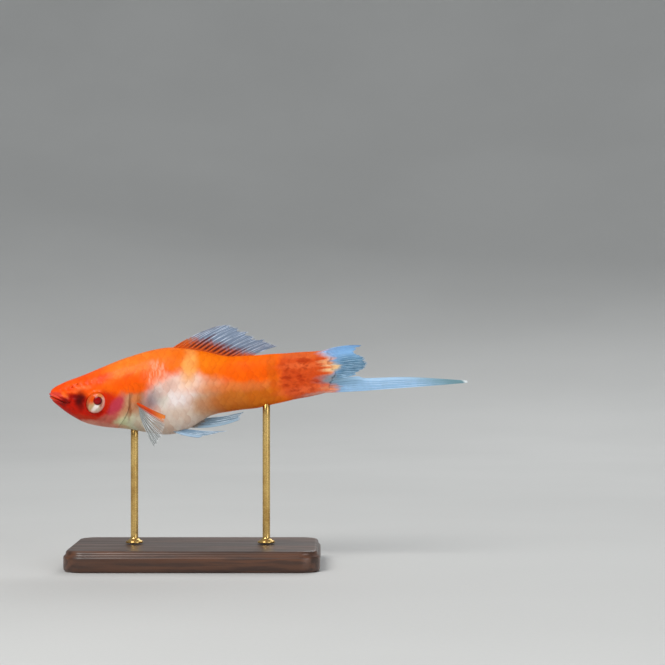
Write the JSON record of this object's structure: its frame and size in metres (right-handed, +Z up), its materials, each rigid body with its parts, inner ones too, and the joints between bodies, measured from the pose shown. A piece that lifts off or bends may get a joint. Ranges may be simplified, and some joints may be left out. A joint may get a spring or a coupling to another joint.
{
  "type": "swordtail fish model on display stand",
  "caption": "Male swordtail fish swimming with its head a little low, fins spread and a long blade on its lower tail, held by slim rods on a flat display base.",
  "frame": {"origin": "centre of the model's bounding box in X and Y, on the underside of the display base", "axes": "+Z up; -X the way the fish swims, so its snout is at low X and its sword ends at high X; -Y its left side, the one in the picture"},
  "size_m": [0.1004, 0.036, 0.0577],
  "materials": {
    "red_skin": "wet fish skin, red to orange",
    "pale_skin": "wet fish skin, white and orange",
    "orange_skin": "wet fish skin, orange",
    "orange_fin": "thin fin with raised rays, orange at the root",
    "blue_fin": "thin fin with raised rays, pale blue",
    "eye": "glossy eye with a silvery pink iris",
    "dark_wood": "dark satin wood",
    "brass": "polished"
  },
  "bodies": {
    "root": {"head": "red_skin", "lower_jaw": "red_skin", "gill_cover_left": "red_skin", "gill_cover_right": "red_skin", "eye_left": "eye", "eye_right": "eye", "torso": "pale_skin", "tail_stalk": "orange_skin", "dorsal_fin": "orange_fin", "tail_fin": "blue_fin", "sword": "blue_fin", "anal_fin": "blue_fin", "pelvic_fin_left": "blue_fin", "pelvic_fin_right": "blue_fin", "pectoral_fin_left": "orange_fin", "pectoral_fin_right": "orange_fin", "stand_base": "dark_wood", "stand_rod_front": "brass", "stand_rod_rear": "brass"}
  },
  "joints": []
}
